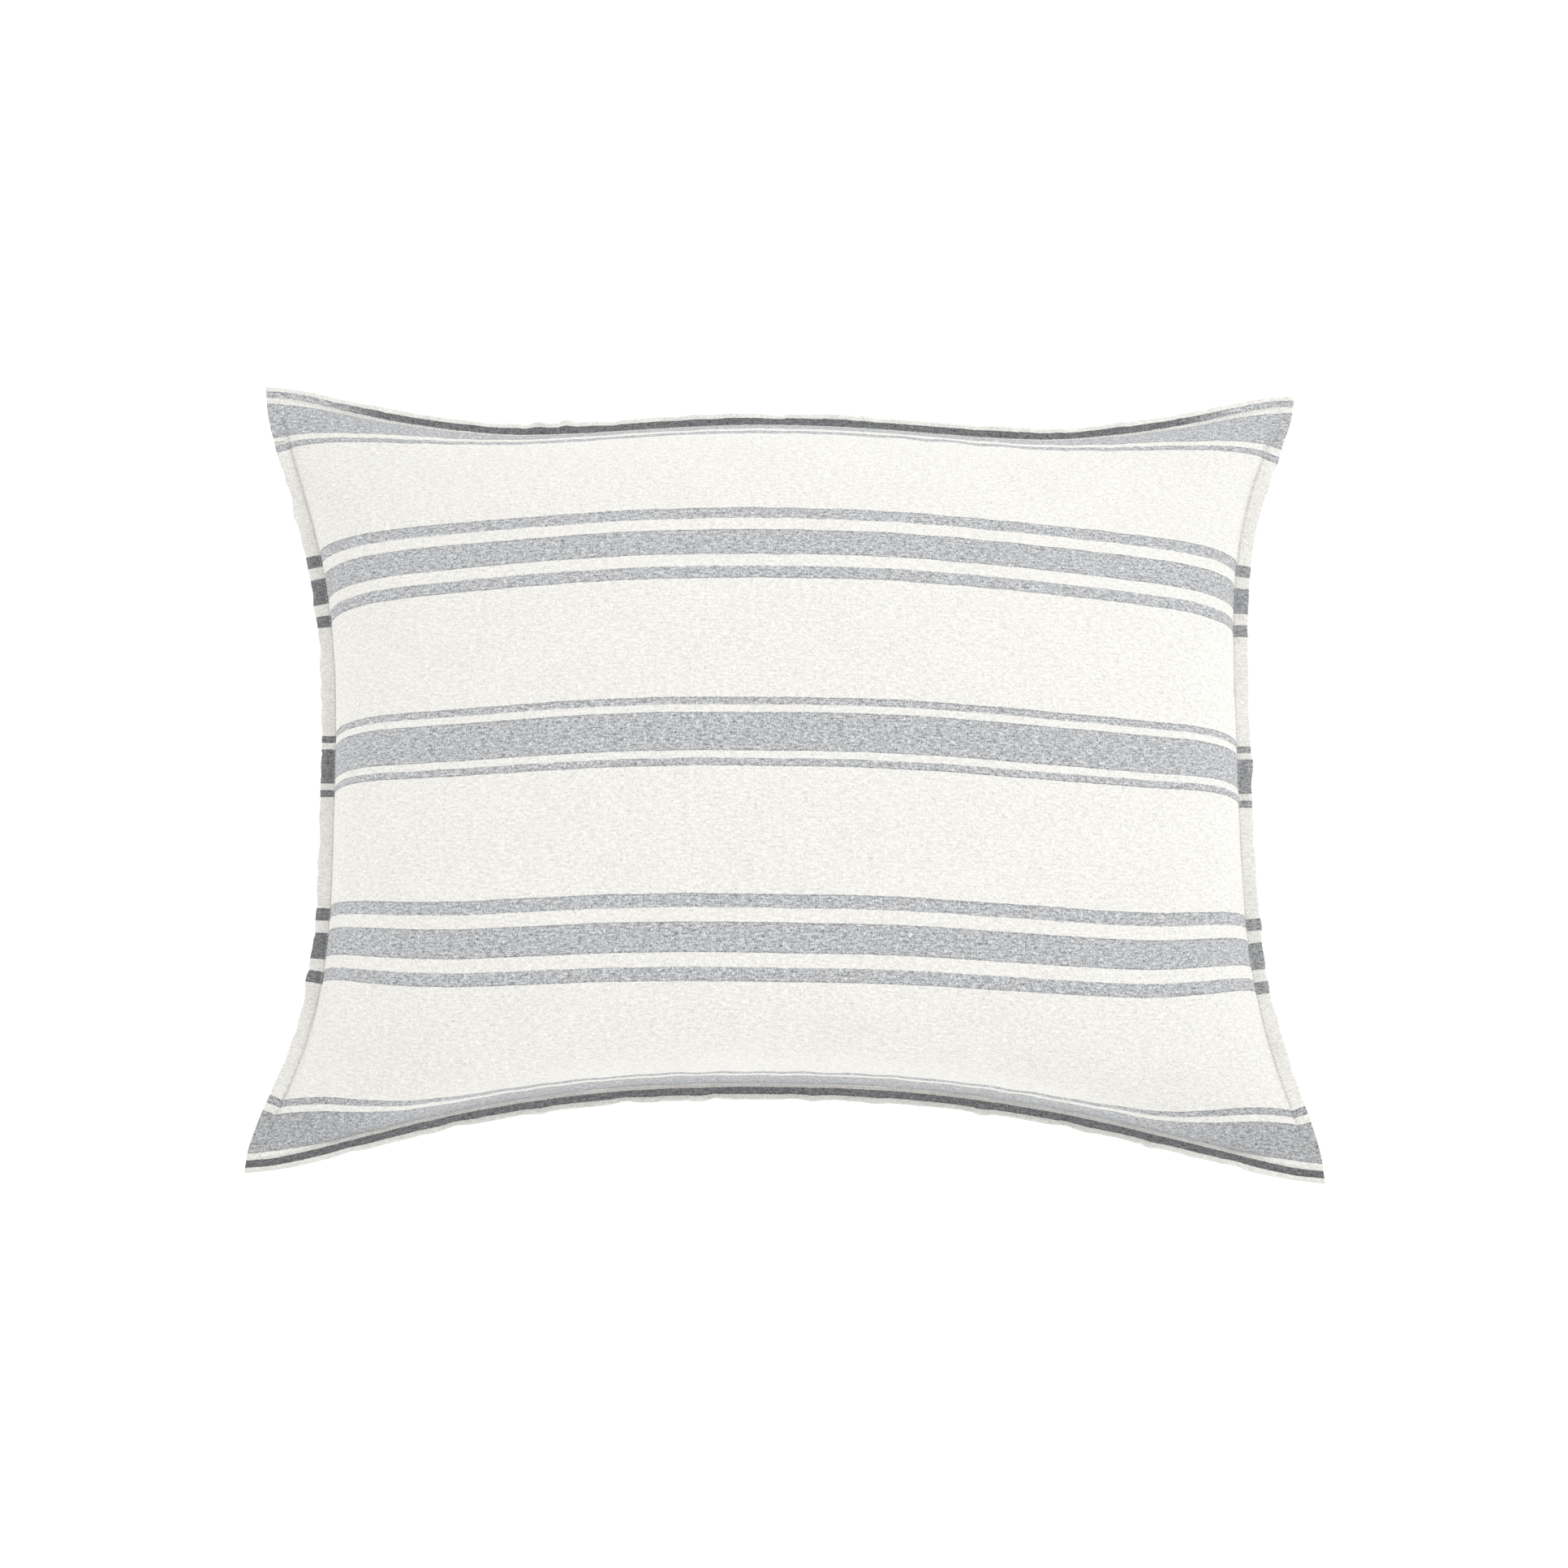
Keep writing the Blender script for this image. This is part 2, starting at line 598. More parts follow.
class Value:
    """A shader value that does arithmetic, so that a pattern reads as a formula."""

    def __init__(self, socket):
        self.socket = socket

    def step(self, operation, *others):
        tree = self.socket.id_data
        made = tree.nodes.new("ShaderNodeMath")
        made.operation = operation
        for place, value in enumerate((self, *others)):
            if isinstance(value, Value):
                tree.links.new(value.socket, made.inputs[place])
            else:
                made.inputs[place].default_value = value
        return Value(made.outputs[0])

    __add__ = functools.partialmethod(step, "ADD")
    __sub__ = functools.partialmethod(step, "SUBTRACT")
    __mul__ = functools.partialmethod(step, "MULTIPLY")
    absolute = functools.partialmethod(step, "ABSOLUTE")
    least = functools.partialmethod(step, "MINIMUM")
    most = functools.partialmethod(step, "MAXIMUM")

    def share(self):
        """This, held between 0 and 1."""
        return self.most(0).least(1)

    def below(self, limit, softness):
        """1 where this is below the limit and 0 above it, with a soft border."""
        return ((self - limit) * (-1 / softness) + 0.5).share()

    def between(self, low, high, softness):
        return self.below(high, softness) - self.below(low, softness)


def noise(vector, scale, detail=2.0):
    """Noise from 0 to 1; scale is one number, or one for each axis, in cycles per metre."""
    tree = vector.id_data
    if isinstance(scale, tuple):
        mapping = tree.nodes.new("ShaderNodeMapping")
        mapping.inputs["Scale"].default_value = scale
        tree.links.new(vector, mapping.inputs["Vector"])
        vector, scale = mapping.outputs["Vector"], 1.0
    made = tree.nodes.new("ShaderNodeTexNoise")
    made.inputs["Scale"].default_value = scale
    made.inputs["Detail"].default_value = detail
    tree.links.new(vector, made.inputs["Vector"])
    return Value(made.outputs["Fac"])


def in_millimetres(vector):
    """The vector's three parts as values in millimetres."""
    tree = vector.id_data
    axes = tree.nodes.new("ShaderNodeSeparateXYZ")
    tree.links.new(vector, axes.inputs["Vector"])
    return [Value(part) * MM for part in axes.outputs]


def mixed(share, first, second):
    """A colour between first and second; each is a colour or a colour socket."""
    tree = share.socket.id_data
    made = tree.nodes.new("ShaderNodeMix")
    made.data_type = "RGBA"
    factor = next(socket for socket in made.inputs if socket.name == "Factor")
    tree.links.new(share.socket, factor)
    colours = [socket for socket in made.inputs if socket.type == "RGBA"]
    for socket, colour in zip(colours, (first, second)):
        if isinstance(colour, bpy.types.NodeSocket):
            tree.links.new(colour, socket)
        else:
            socket.default_value = (*colour, 1)
    return next(socket for socket in made.outputs if socket.type == "RGBA")


def dimmed(colour, share):
    """The colour multiplied by a value."""
    tree = colour.id_data
    made = tree.nodes.new("ShaderNodeVectorMath")
    made.operation = "SCALE"
    tree.links.new(colour, made.inputs[0])
    tree.links.new(share.socket, made.inputs["Scale"])
    return made.outputs["Vector"]


def raised(shader, layers):
    """Bumps on the shader's surface: each layer is a value, its height in metres and its strength."""
    tree = shader.id_data
    below = None
    for value, height, strength in layers:
        bump = tree.nodes.new("ShaderNodeBump")
        bump.inputs["Distance"].default_value = height
        bump.inputs["Strength"].default_value = strength
        tree.links.new(value.socket, bump.inputs["Height"])
        if below is not None:
            tree.links.new(below, bump.inputs["Normal"])
        below = bump.outputs["Normal"]
    tree.links.new(below, shader.inputs["Normal"])


def new_material(name, roughness, sheen=0.0):
    """A material with its node tree and its shader."""
    material = bpy.data.materials.new(name)
    material.use_nodes = True
    shader = material.node_tree.nodes["Principled BSDF"]
    shader.inputs["Roughness"].default_value = roughness
    shader.inputs["Sheen Weight"].default_value = sheen
    return material, material.node_tree, shader


# The linen's stripes, in millimetres from the middle of their group
MM = 1000
BROAD_GROUPS = 323.5  # group centres from the panel's middle; one more lies on the middle
NARROW_GROUPS = 161.5
BROAD_STRIPE = 15.5  # half the broad group's middle stripe
BROAD_SIDE = (21.5, 27.7)
NARROW_STRIPE = 11.7
NARROW_SIDE = (22.6, 33.5)
STRIPE_EDGE = 0.5
BORDER_INSET = 0.6  # of the darker yarn just inside each stripe's border
BORDER_HALF = 0.5
BORDER_DEPTH = 0.2
YARN_DRIFT = 1.6
YARN_JITTER = 0.9
THREAD_PITCH = 1.1

CREAM = (0.905, 0.893, 0.857)
CREAM_THREAD = (0.775, 0.755, 0.705)
GREY = (0.512, 0.519, 0.531)
GREY_SLUB = (0.270, 0.276, 0.288)
GREY_FLECK = (0.720, 0.728, 0.740)

# How much darker the doubled cloth of the flange looks, on its stripes, on its plain cloth and in the ears
FLANGE_DEPTH = {"left": 0.52, "right": 0.26, "high": 0.60, "low": 0.48}
HEM_DEPTH = {"high": 0.02, "low": 0.09, "side": 0.04}
EAR_WIDTH = 70  # of the panel, across the stripes, from its edge
EAR_FADE = 30
HIGH_DARK_END = 382  # from the panel's middle, along the stripes
HIGH_DARK_FADE = 50
EAR_REACH = 110
EAR_DEPTH = 0.13

# How strongly the yarns show: a slub or a thread of warp counts where its noise is past a threshold
SLUB_CUT = (3.2, -1.5)  # contrast and offset
WARP_CUT = (3.4, -1.6)
SLUB_IN_CREAM, SLUB_IN_GREY = 0.6, 0.7
WARP_IN_CREAM, WARP_IN_GREY = 0.4, 0.7
FLECK_DEPTH = 1.7
MOTTLE_DEPTH = 1.7
CLOUD_DEPTH = 0.06
CREAM_GRAIN = 0.28  # the cream cloth's share of the grain

# Noise of the yarns: cycles per metre along the stripes and across them
DRIFT_NOISE = (9, 3, 1)
JITTER_NOISE = (420, 60, 1)
SLUB_NOISE = (75, 950, 1)
WARP_NOISE = (1000, 110, 1)
WEFT_FLECKS = (360, 1300, 1)
WARP_FLECKS = (1300, 420, 1)
MOTTLE_NOISE = (170, 520, 1)
CLOUD_NOISE = (14, 22, 1)
CRINKLE_NOISE = (460, 300, 1)
RIPPLE_NOISE = (110, 70, 1)


def stripe_masks(flat, v):
    """Where the grey stripes are, and the darker yarns along their borders; v is across them."""
    drift = (noise(flat, DRIFT_NOISE, 3) - 0.5) * YARN_DRIFT
    jitter = (noise(flat, JITTER_NOISE) - 0.5) * YARN_JITTER
    across = (v + drift + jitter).absolute()
    broad = across.least((across - BROAD_GROUPS).absolute())
    narrow = (across - NARROW_GROUPS).absolute()
    stripes = (
        broad.below(BROAD_STRIPE, STRIPE_EDGE)
        + broad.between(*BROAD_SIDE, STRIPE_EDGE)
        + narrow.below(NARROW_STRIPE, STRIPE_EDGE)
        + narrow.between(*NARROW_SIDE, STRIPE_EDGE)
    )
    edges = (
        (broad, BROAD_STRIPE),
        (broad, BROAD_SIDE[1]),
        (narrow, NARROW_STRIPE),
        (narrow, NARROW_SIDE[1]),
    )
    borders = [
        (place - (edge - BORDER_INSET)).absolute().below(BORDER_HALF, STRIPE_EDGE) for place, edge in edges
    ]
    return stripes.least(1), functools.reduce(Value.most, borders)


def yarn_colour(flat, stripes, borders, slubs, warp):
    """Cream and grey chambray: dark slubs along the stripes, pale flecks of warp across them, and grain."""
    slub_share = (slubs * SLUB_CUT[0] + SLUB_CUT[1]).share()
    warp_share = (warp * WARP_CUT[0] + WARP_CUT[1]).share()
    cream = mixed(slub_share * SLUB_IN_CREAM, CREAM, CREAM_THREAD)
    cream = mixed(warp_share * WARP_IN_CREAM, cream, CREAM_THREAD)
    grey = mixed(slub_share * SLUB_IN_GREY, GREY, GREY_SLUB)
    grey = mixed(warp_share * WARP_IN_GREY, grey, GREY_FLECK)
    grey = dimmed(grey, borders * -BORDER_DEPTH + 1)
    flecks = (noise(flat, WEFT_FLECKS, 1) + noise(flat, WARP_FLECKS, 1) - 1) * FLECK_DEPTH
    mottle = (noise(flat, MOTTLE_NOISE, 4) - 0.5) * MOTTLE_DEPTH
    cloud = (noise(flat, CLOUD_NOISE) - 0.5) * CLOUD_DEPTH
    grain = (flecks + mottle) * (stripes * (1 - CREAM_GRAIN) + CREAM_GRAIN)
    return dimmed(mixed(stripes, cream, grey), grain + cloud + 1)


def flange_depth(u, v, stripes):
    """How much darker each place looks for lying on the flange or in an ear."""
    from_side = u.absolute() * -1 + FLAT_LENGTH / 2 * MM
    from_high = v * -1 + FLAT_WIDTH / 2 * MM
    from_low = v + FLAT_WIDTH / 2 * MM
    side, high, low = (place.below(FLANGE * MM, STRIPE_EDGE) for place in (from_side, from_high, from_low))
    low_ear, high_ear = (place.below(EAR_WIDTH, EAR_FADE) for place in (from_low, from_high))
    rightward = u * (1 / (FLAT_LENGTH * MM)) + 0.5
    side_depth = rightward * (FLANGE_DEPTH["right"] - FLANGE_DEPTH["left"]) + FLANGE_DEPTH["left"]
    on_side = side * side_depth * (low_ear.most(high_ear) * -1 + 1)
    on_high = high * u.absolute().below(HIGH_DARK_END, HIGH_DARK_FADE) * FLANGE_DEPTH["high"]
    on_low = low * FLANGE_DEPTH["low"]
    in_ear = from_side.below(EAR_REACH, EAR_REACH) * low_ear * EAR_DEPTH
    hem = (side * HEM_DEPTH["side"]).most(high * HEM_DEPTH["high"]).most(low * HEM_DEPTH["low"])
    return (on_side.most(on_high).most(on_low) + in_ear) * stripes + hem


def linen_material():
    """Crinkled yarn-dyed linen; its stripes, threads and slubs lie along the flat panel's coordinates."""
    material, tree, shader = new_material("striped_linen", 0.88, sheen=0.08)
    uv = tree.nodes.new("ShaderNodeUVMap")
    uv.uv_map = FLAT_MAP
    flat = uv.outputs["UV"]
    u, v, _ = in_millimetres(flat)
    slubs = noise(flat, SLUB_NOISE, 3)
    warp = noise(flat, WARP_NOISE, 3)

    stripes, borders = stripe_masks(flat, v)
    colour = yarn_colour(flat, stripes, borders, slubs, warp)
    colour = dimmed(colour, flange_depth(u, v, stripes) * -1 + 1)
    tree.links.new(colour, shader.inputs["Base Color"])

    per_thread = math.tau / THREAD_PITCH
    weave = (u * per_thread).step("SINE") * (v * per_thread).step("SINE")
    bumps = [
        (weave, 0.00015, 0.6),
        (slubs, 0.0007, 0.6),
        (warp, 0.0006, 0.6),
        (noise(flat, CRINKLE_NOISE, 3), 0.0020, 0.85),
        (noise(flat, RIPPLE_NOISE), 0.0030, 0.45),
    ]
    raised(shader, bumps)
    return material


def finished(piece, material, replaced=None):
    """The piece takes a material and a slot, rides with the pillow, and stands for its CAD node."""
    piece.data.materials.append(material)
    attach(piece, "pillow")
    if replaced:
        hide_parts(replaced)


linen = linen_material()
for cover, replaced, rests_on in (
    (cover_front, "cover_front_panel", "insert_shell_front"),
    (cover_back, "cover_back_panel", "insert_shell_back"),
):
    finished(cover, linen, replaced)


# ------ thread, coils and other small pieces

STITCH_LENGTH = 0.0026
STITCH_PITCH = 0.0033
STITCH_WIDTH = 0.0006
STITCH_RINGS = 7
STITCH_SIDES = 6
STITCH_TAPER = 0.97  # how far a stitch narrows at its ends
STITCH_RISE = 0.3  # its middle above the cloth, as a share of its width, less its dip at the ends
TOPSTITCH_OUT = 0.0015  # outside the seam
ZIP_STITCH_AWAY = 0.0017  # from the slot's edge
BARTACK_V = 0.302
BARTACK_PITCH = 0.0007


def tube_faces(rings, sides, first=0):
    """Quads of a tube and an end face at each end, for rings of points one after another."""
    index = first + np.arange(rings * sides).reshape(rings, sides)
    following = np.roll(index, -1, axis=1)
    quads = np.stack([index[:-1], following[:-1], following[1:], index[1:]], axis=-1).reshape(-1, 4)
    return quads.tolist() + [index[0][::-1].tolist(), index[-1].tolist()]


def along_path(path, distance, values=None):
    """Points of a path, or values given along it, at distances from its start."""
    values = path if values is None else values
    steps = np.linalg.norm(np.diff(path, axis=0), axis=1)
    reached = np.concatenate([[0], np.cumsum(steps)])
    return np.stack([np.interp(distance, reached, values[:, axis]) for axis in range(3)], axis=-1)


def path_length(path):
    """The path's length."""
    return np.linalg.norm(np.diff(path, axis=0), axis=1).sum()


def stitches(name, path, up, pitch=STITCH_PITCH, crosswise=False):
    """Sewing stitches along a path on cloth: bars that dip into it. up is one direction, or one a point."""
    places = np.arange(pitch / 2, path_length(path), pitch)
    centre = along_path(path, places)
    along = unit(along_path(path, places + pitch / 4) - along_path(path, places - pitch / 4))
    normal = unit(along_path(path, places, np.broadcast_to(up, path.shape)))
    side = unit(np.cross(normal, along))
    if crosswise:
        along, side = side, -along
    share = np.linspace(-1, 1, STITCH_RINGS)
    girth = (1 - np.abs(share) ** 3 * STITCH_TAPER) ** 0.5
    turn = math.tau * np.arange(STITCH_SIDES) / STITCH_SIDES
    length = (share * STITCH_LENGTH / 2)[:, None] * np.ones(STITCH_SIDES)
    across = girth[:, None] * np.cos(turn) * STITCH_WIDTH / 2
    middle = (STITCH_RISE - share[:, None] ** 4) * STITCH_WIDTH / 2
    height = middle + girth[:, None] * np.sin(turn) * STITCH_WIDTH / 3
    points = (
        centre[:, None, None]
        + along[:, None, None] * length[..., None]
        + side[:, None, None] * across[..., None]
        + normal[:, None, None] * height[..., None]
    )
    faces = []
    for number in range(len(places)):
        faces += tube_faces(STITCH_RINGS, STITCH_SIDES, number * STITCH_RINGS * STITCH_SIDES)
    return mesh_piece(name, points, faces)


def row_between(grid, line, place):
    """The grid's points along the line where the flat coordinate across it has this value."""
    after = np.searchsorted(line, place)
    share = (place - line[after - 1]) / (line[after] - line[after - 1])
    return grid[:, after - 1] * (1 - share) + grid[:, after] * share


def around_seam(grid, out):
    """The closed loop on a panel that runs outside its seam by this much."""
    u_line, v_line = PANEL_FLAT[:, 0, 0], PANEL_FLAT[0, :, 1]
    turned = grid.transpose(1, 0, 2)
    inside_u, inside_v = np.abs(u_line) < HALF_U + out, np.abs(v_line) < HALF_V + out
    low = row_between(grid, v_line, -HALF_V - out)[inside_u]
    right = row_between(turned, u_line, HALF_U + out)[inside_v]
    high = row_between(grid, v_line, HALF_V + out)[inside_u][::-1]
    left = row_between(turned, u_line, -HALF_U - out)[inside_v][::-1]
    return np.concatenate([low, right, high, left, low[:1]])


def tube(name, path, sides, widths, up):
    """A closed tube along an open path; widths are its half sizes across and along the up direction."""
    along = unit(np.gradient(path, axis=0))
    side = unit(np.cross(along, up))
    upward = np.cross(side, along)
    turn = math.tau * np.arange(sides) / sides
    points = (
        path[:, None]
        + side[:, None] * (np.cos(turn) * widths[0])[None, :, None]
        + upward[:, None] * (np.sin(turn) * widths[1])[None, :, None]
    )
    return mesh_piece(name, points, tube_faces(len(path), sides))


COIL_PITCH = 0.0015
COIL_WIRE = 0.00028
COIL_DEPTH = 0.002
COIL_STEPS = 12
COIL_SIDES = 5


def zip_coil(node):
    """The moulded coil of one side of the zip, wound inside the box of its CAD node."""
    low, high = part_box(node)
    first, last = math.asin(low.x / ZIP_RADIUS), math.asin(high.x / ZIP_RADIUS)
    turns = (last - first) * ZIP_RADIUS / COIL_PITCH
    step = np.arange(round(turns * COIL_STEPS))
    around = math.tau * step / COIL_STEPS
    place = first + (last - first) * step / len(step)
    half_height = (high.z - low.z) / 2 - COIL_WIRE
    half_depth = COIL_DEPTH / 2 - COIL_WIRE
    radius = ZIP_RADIUS + half_depth * np.cos(around)
    height = (low.z + high.z) / 2 + half_height * np.sin(around)
    path = np.stack([radius * np.sin(place), ZIP_EDGE_CENTRE + radius * np.cos(place), height], axis=-1)
    outward = [np.sin(place) * np.cos(around), np.cos(place) * np.cos(around), np.sin(around)]
    name = node.replace("zip_", "moulded_")
    return tube(name, path, COIL_SIDES, (COIL_WIRE, COIL_WIRE), np.stack(outward, axis=-1))


INSERT_MIDDLE = (0, 0.016, SEAM_HEIGHT)
INSERT_SHRINK = (0.972, 0.966, 0.966)
FILL_SHRINK = (0.990, 0.988, 0.988)
INSERT_CLOTH = 0.0006
INSERT_GAP = 0.0005
BEHIND_ZIP = 0.004
CLEAR_HALF_LENGTH = ZIP_HALF_LENGTH + 2 * GROOVE_FADE
CLEAR_HEIGHT = 2.5 * GROOVE_FADE  # above and below the zip
OVERLOCK_SIZE = (0.0016, 0.0007)
OVERLOCK_SIDES = 8


def shrunk(points, share):
    """The points drawn in towards the insert's middle."""
    middle = np.array(INSERT_MIDDLE)
    return middle + (points - middle) * np.array(share)


def clear_of_zip(points):
    """The points with those in front of the zip pushed in behind it."""
    from_centre = points[..., :2] - np.array([0, ZIP_EDGE_CENTRE])
    distance = np.linalg.norm(from_centre, axis=-1)
    beside = smooth((CLEAR_HALF_LENGTH - np.abs(points[..., 0])) / GROOVE_FADE)
    level = smooth((CLEAR_HEIGHT - np.abs(points[..., 2] - ZIP_HEIGHT)) / GROOVE_FADE)
    push = np.maximum(0, ZIP_RADIUS + BEHIND_ZIP - distance) * beside * level
    moved = points.copy()
    moved[..., :2] += from_centre * (push / distance)[..., None]
    return moved


def insert_shell(name, grid, side):
    """One half of the insert's cotton shell, seen from outside."""
    outer = grid + np.array([0, 0, side * INSERT_GAP])
    inner = outer - normals_of(grid) * INSERT_CLOTH * side
    rim = rim_of(grid.shape[:2])
    outer[rim, 2] += side * INSERT_CLOTH
    inner[rim] = grid[rim] + np.array([0, 0, side * INSERT_GAP])
    return shell(name, outer, inner, grid_of(U, V), flip=side < 0)


def insert_filling(front, back):
    """The fibre filling as one closed body."""
    points, faces, *_ = sewn(front, back)
    return mesh_piece("fibre_filling", points, faces)


LABEL_STEPS = (13, 7)
LABEL_CURL = 0.0012
LABEL_RIPPLE = 40  # radians per metre along the label
LABEL_THICKNESS = 0.0004


def sewn_label(name, node):
    """A blank woven label that hangs from the side seam with a slight curl."""
    low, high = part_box(node)
    lines = [np.linspace(low[axis], high[axis], steps) for axis, steps in zip((1, 2), LABEL_STEPS)]
    flat = grid_of(*lines)
    y, z = flat[..., 0], flat[..., 1]
    down = (high.z - z) / (high.z - low.z)
    x = (low.x + high.x) / 2 - np.sign(low.x) * LABEL_CURL * down**2 * np.cos(y * LABEL_RIPPLE)
    sheet = np.stack([x, y, z], axis=-1)
    thick = np.array([LABEL_THICKNESS / 2, 0, 0])
    return shell(name, sheet + thick, sheet - thick, flat)


UP = np.array([0, 0, 1.0])
thread_pieces = []
for side, grid, up in (("front", front_outer, UP), ("back", back_outer, -UP)):
    loop = around_seam(grid, TOPSTITCH_OUT)
    row = stitches(f"topstitching_{side}", loop, up)
    thread_pieces.append((row, f"flange_topstitch_{side}"))

zip_span = np.abs(slot_x) <= ZIP_HALF_LENGTH
back_normals = -normals_of(back_outer)
for node, from_seam in (
    ("zip_stitch_upper", SLOT_FROM_SEAM - ZIP_STITCH_AWAY),
    ("zip_stitch_lower", SLOT_TO_SEAM + ZIP_STITCH_AWAY),
):
    place = from_seam - HALF_V
    line = row_between(back_outer, PANEL_FLAT[0, :, 1], place)[zip_span]
    normal = row_between(back_normals, PANEL_FLAT[0, :, 1], place)[zip_span]
    row = stitches(node.replace("zip_stitch", "zip_stitching"), line, normal)
    thread_pieces.append((row, node))

near_tack = np.argmin(np.abs(PANEL_FLAT[0, :, 1] - BARTACK_V))
tack_line = front_outer[: len(FLANGE_ROWS), near_tack]
thread_pieces.append((stitches("bartack", tack_line, UP, BARTACK_PITCH, crosswise=True), None))

coils = [(zip_coil(node), node) for node in ("zip_coil_upper", "zip_coil_lower")]

insert_front, insert_back = (clear_of_zip(shrunk(face, INSERT_SHRINK)) for face in start_shape())
insert_pieces = [
    (insert_shell("insert_cotton_front", insert_front, 1), "insert_shell_front"),
    (insert_shell("insert_cotton_back", insert_back, -1), "insert_shell_back"),
]
insert_rim = np.concatenate(
    [insert_front[:, 0], insert_front[-1, 1:], insert_front[-2::-1, -1], insert_front[0, -2:0:-1]]
)
edge_seam = tube("insert_overlock", insert_rim, OVERLOCK_SIDES, OVERLOCK_SIZE, UP)
filling = insert_filling(shrunk(insert_front, FILL_SHRINK), shrunk(insert_back, FILL_SHRINK))
labels = [
    (sewn_label("blank_care_label", "cover_care_label"), "cover_care_label"),
    (sewn_label("blank_insert_label", "insert_label"), "insert_label"),
]


# ------ materials of the small pieces

THREAD_COLOURS = ((0.80, 0.79, 0.75), (0.62, 0.61, 0.57))
TAPE_COLOURS = ((0.70, 0.69, 0.65), (0.52, 0.51, 0.48))
COTTON_COLOURS = ((0.84, 0.84, 0.82), (0.72, 0.72, 0.70))
LABEL_COLOURS = ((0.86, 0.86, 0.84), (0.76, 0.76, 0.75))
FIBRE_COLOURS = ((0.90, 0.90, 0.89), (0.70, 0.70, 0.70))
COIL_COLOURS = ((0.72, 0.71, 0.67), (0.58, 0.57, 0.54))
ENAMEL_COLOURS = ((0.70, 0.69, 0.65), (0.62, 0.61, 0.57))
PLY_PITCH = 0.42  # millimetres

# Noise of the small pieces, in cycles per metre
UNEVEN_THREADS = 700
STRAY_FIBRES = 4000
COIL_CLOUDS = 900
ENAMEL_SCRATCHES = (300, 2600, 2600)
ENAMEL_WEAR = 160
FILL_TUFTS = 45
FILL_STRANDS = (900, 260, 420)


def painted(shader, share, colours, layers):
    """Colours the surface between two colours, and raises its bumps."""
    shader.id_data.links.new(mixed(share, *colours), shader.inputs["Base Color"])
    raised(shader, layers)


def small_material(name, roughness, sheen=0.0):
    """A material of a small piece with its shader, and the point's own place as a vector."""
    material, tree, shader = new_material(name, roughness, sheen)
    return material, shader, tree.nodes.new("ShaderNodeTexCoord").outputs["Object"]


def woven_material(name, colours, pitch, roughness, sheen):
    """A plain weave in one colour, with uneven threads; the pitch is in millimetres."""
    material, shader, place = small_material(name, roughness, sheen)
    x, y, z = in_millimetres(place)
    warp = (x * (math.tau / pitch)).step("SINE")
    weft = ((y + z) * (math.tau / pitch)).step("SINE")
    threads = warp * weft
    uneven = noise(place, UNEVEN_THREADS, 3)
    share = (threads * 0.25 + uneven).share()
    painted(shader, share, colours, [(threads, pitch * 0.00012, 0.7), (uneven, 0.0003, 0.5)])
    return material


def thread_material():
    """Two-ply sewing thread: slanting plies and stray fibres."""
    material, shader, place = small_material("sewing_thread", 0.7, sheen=0.15)
    x, y, z = in_millimetres(place)
    plies = ((x + y + z) * (math.tau / PLY_PITCH)).step("SINE")
    fibres = noise(place, STRAY_FIBRES, 2)
    share = (plies * 0.35 + fibres).share()
    painted(shader, share, THREAD_COLOURS, [(plies, 0.00008, 0.8), (fibres, 0.00004, 0.5)])
    return material


def moulded_material():
    """Nylon of the zip's coil: smooth, faintly clouded."""
    material, shader, place = small_material("zip_coil", 0.38)
    shader.inputs["Subsurface Weight"].default_value = 0.1
    cloud = noise(place, COIL_CLOUDS, 3)
    painted(shader, cloud, COIL_COLOURS, [(cloud, 0.00005, 0.3)])
    return material


def enamel_material():
    """Satin enamel on die-cast metal, with fine scratches and slightly worn patches."""
    material, shader, place = small_material("zip_metal", 0.32)
    shader.inputs["Coat Weight"].default_value = 0.3
    scratches = noise(place, ENAMEL_SCRATCHES, 4)
    wear = noise(place, ENAMEL_WEAR, 3)
    shader.id_data.links.new((wear * 0.25 + 0.2).socket, shader.inputs["Roughness"])
    painted(shader, wear, ENAMEL_COLOURS, [(scratches, 0.00003, 0.35)])
    return material


def fibre_material():
    """Loose white polyester fibre."""
    material, shader, place = small_material("fibre_fill", 0.95, sheen=0.3)
    tufts = noise(place, FILL_TUFTS, 6)
    strands = noise(place, FILL_STRANDS, 4)
    layers = [(tufts, 0.006, 0.6), (strands, 0.001, 0.6)]
    painted(shader, strands * 0.6 + tufts * 0.3, FIBRE_COLOURS, layers)
    return material


thread = thread_material()
tape = woven_material("zip_tape", TAPE_COLOURS, 0.55, 0.75, 0.1)
cotton = woven_material("insert_cotton", COTTON_COLOURS, 0.45, 0.8, 0.1)
label_weave = woven_material("label_tape", LABEL_COLOURS, 0.3, 0.5, 0.2)
moulded = moulded_material()
enamel = enamel_material()

for piece, node in thread_pieces:
    finished(piece, thread, node)
for piece, node in coils:
    finished(piece, moulded, node)
for piece, node in insert_pieces:
    finished(piece, cotton, node)
finished(edge_seam, thread, "insert_edge_seam")
finished(filling, fibre_material(), "insert_fill")
for piece, node in labels:
    finished(piece, label_weave, node)

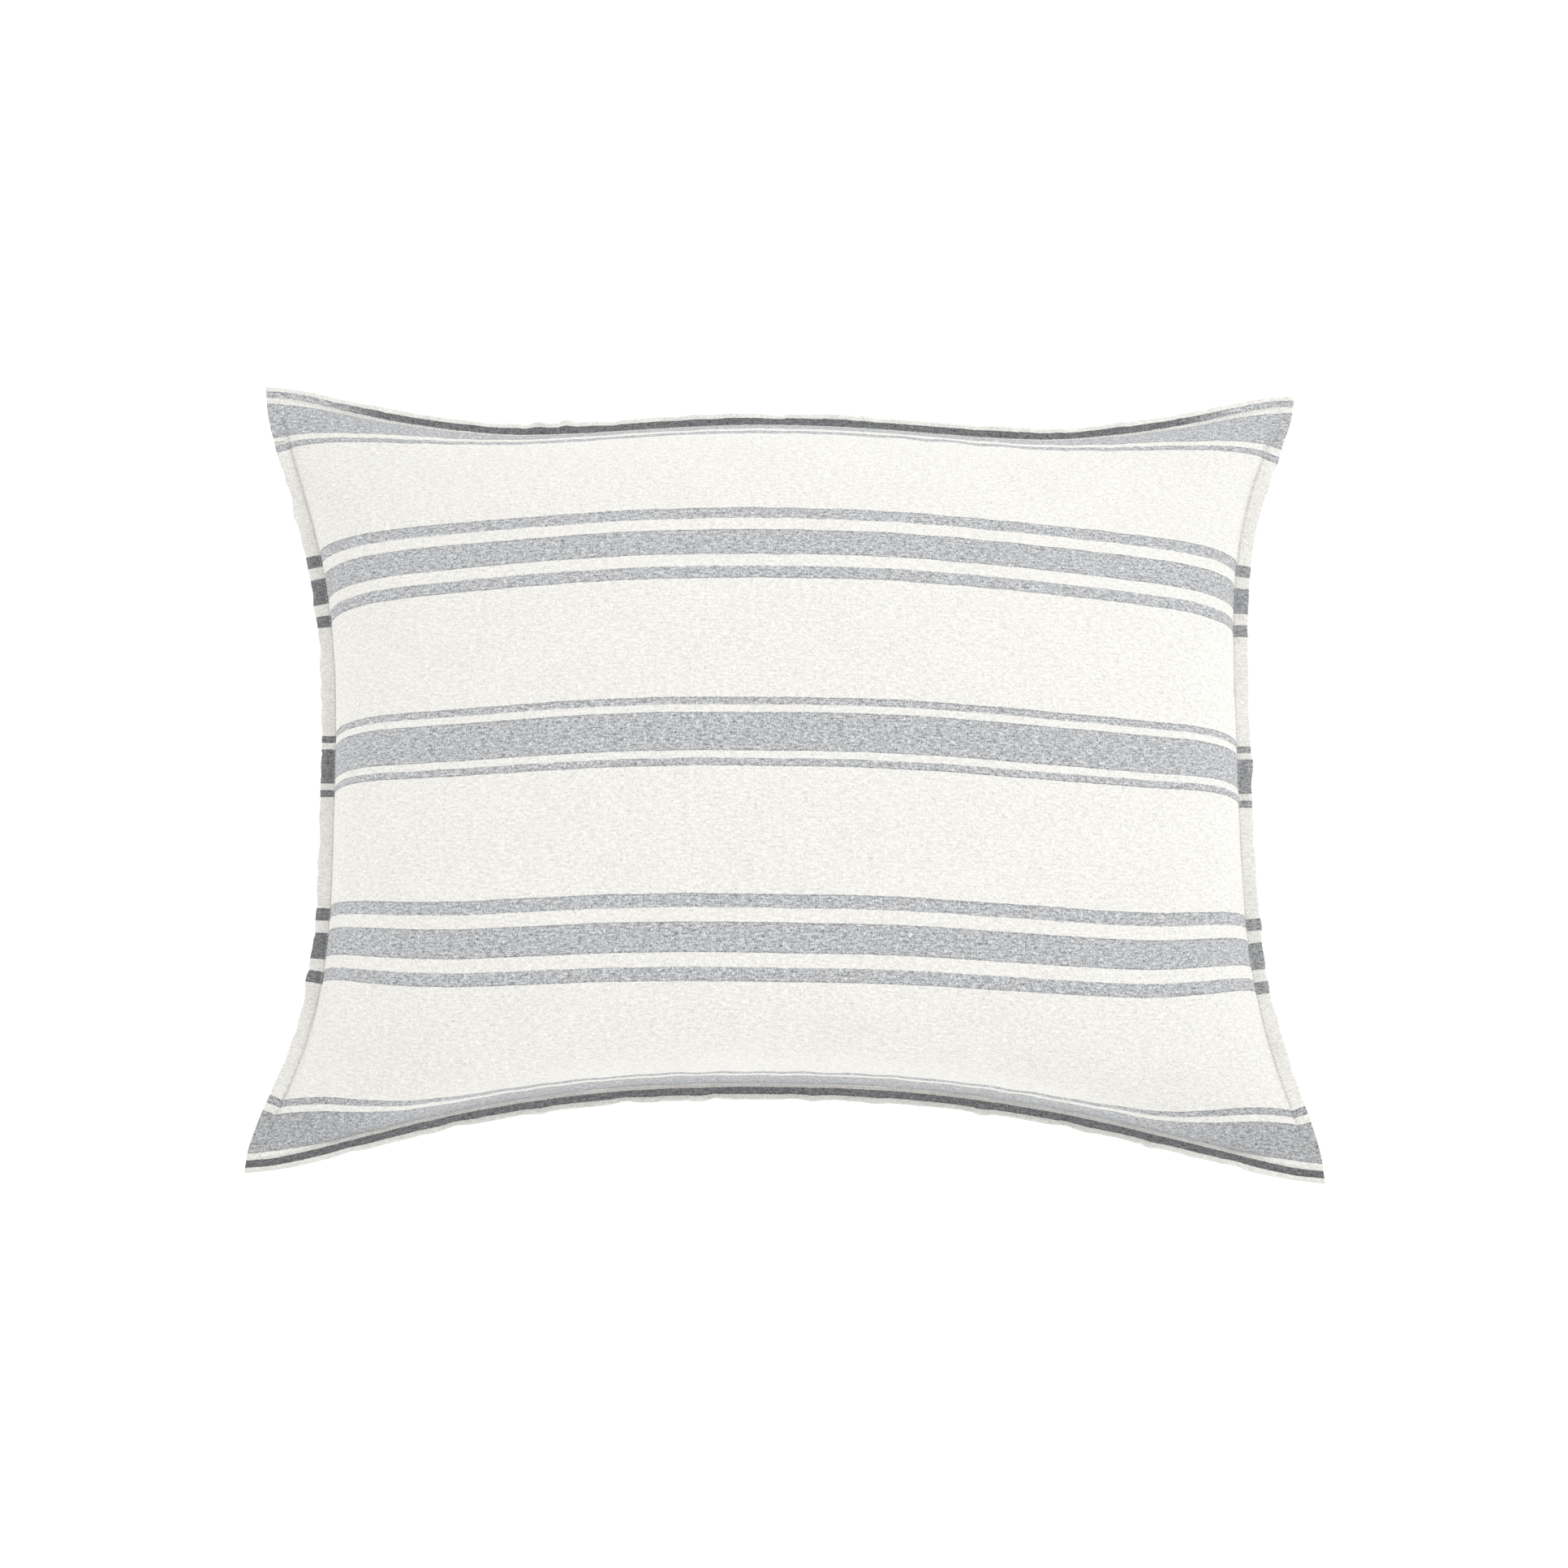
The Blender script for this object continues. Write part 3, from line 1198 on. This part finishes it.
KEPT_NODES = {
    "zip_tape_upper": tape,
    "zip_tape_lower": tape,
    "zip_top_stop": enamel,
    "zip_bottom_stop": enamel,
    "zip_slider": enamel,
    "zip_pull": enamel,
}
for node, material in KEPT_NODES.items():
    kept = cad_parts[node]
    if not kept.material_slots:
        kept.data.materials.append(material)
    for place in kept.material_slots:
        place.material = material


# ------ camera and light

ELEVATION = math.radians(74.5)
TURN = math.radians(0.57)
DISTANCE = 3.9
TARGET = Vector((0.0025, -0.0129, 0.105))
LENS = 105.4
KEY_LIGHT = ((1.8, 1.2, 2.4), 2.0, 24)  # place, size and power
FILL_LIGHT = ((-1.8, -1.0, 2.2), 2.5, 8)
SKY_STRENGTH = 0.93
WHITE = (1, 1, 1, 1)
FLOOR_WHITE = (0.9, 0.9, 0.9, 1)
FLOOR_GLOW = 0.4
FLOOR_SIZE = 30
FLOOR_DROP = 0.0005  # below the pillow

camera_data = bpy.data.cameras.new("camera")
camera_data.lens = LENS
camera = added("camera", camera_data)
forward = Vector(
    (-math.sin(TURN) * math.cos(ELEVATION), math.cos(TURN) * math.cos(ELEVATION), -math.sin(ELEVATION))
)
camera.location = TARGET - DISTANCE * forward
camera.rotation_euler = forward.to_track_quat("-Z", "Y").to_euler()
bpy.context.scene.camera = camera


def area_light(name, place, size, power):
    """A soft square lamp at a place, facing the pillow."""
    lamp = bpy.data.lights.new(name, "AREA")
    lamp.size = size
    lamp.energy = power
    lamp_object = added(name, lamp)
    lamp_object.location = place
    lamp_object.rotation_euler = (TARGET - Vector(place)).to_track_quat("-Z", "Y").to_euler()


area_light("key", *KEY_LIGHT)
area_light("fill", *FILL_LIGHT)

world = bpy.data.worlds.new("studio")
world.use_nodes = True
sky = world.node_tree.nodes["Background"]
sky.inputs["Color"].default_value = WHITE
sky.inputs["Strength"].default_value = SKY_STRENGTH
bpy.context.scene.world = world
bpy.context.scene.view_settings.view_transform = "Standard"

bpy.ops.mesh.primitive_plane_add(size=FLOOR_SIZE, location=(0, 0, -FLOOR_DROP))
floor = bpy.context.object
floor.name = "floor"
paper, _, paper_shader = new_material("floor", 0.9)
paper_shader.inputs["Base Color"].default_value = FLOOR_WHITE
paper_shader.inputs["Emission Color"].default_value = WHITE
paper_shader.inputs["Emission Strength"].default_value = FLOOR_GLOW
floor.data.materials.append(paper)
